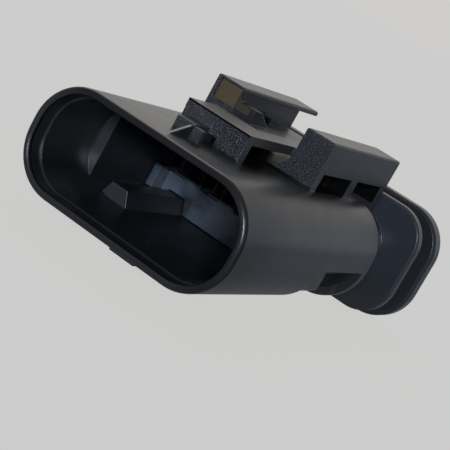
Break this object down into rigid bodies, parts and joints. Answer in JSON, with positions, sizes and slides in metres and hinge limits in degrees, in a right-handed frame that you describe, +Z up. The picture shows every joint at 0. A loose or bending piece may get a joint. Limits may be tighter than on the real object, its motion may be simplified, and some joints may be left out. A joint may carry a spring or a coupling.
{
  "type": "sealed automotive connector housing",
  "caption": "Oval sealed receptacle housing with a deep mating shroud, clip channel on top, sliding terminal lock, mat seal and clip-on rear cover.",
  "frame": {"origin": "centre of the shroud's mouth, in the plane of its rim", "axes": "+X along the mouth's long side, to the right seen from the front; +Y from the mouth to the rear cover; +Z up, to the clip channel"},
  "size_m": [0.0438, 0.0693, 0.0269],
  "materials": {
    "housing": "satin moulded black polyester, lightly spark-textured on the upright faces",
    "terminal_lock": "smooth moulded black polyester",
    "wire_seal": "dull grey silicone rubber",
    "rear_cover": "satin moulded black polyester"
  },
  "bodies": {
    "housing_body": {"housing": "housing", "wire_seal": "wire_seal", "rear_cover": "rear_cover"},
    "lock_body": {"terminal_lock": "terminal_lock"}
  },
  "joints": [
    {"name": "lock_slide", "type": "slide", "parent": "housing_body", "child": "lock_body", "axis": [0, -1, 0], "range_m": [0, 0.0018]}
  ]
}
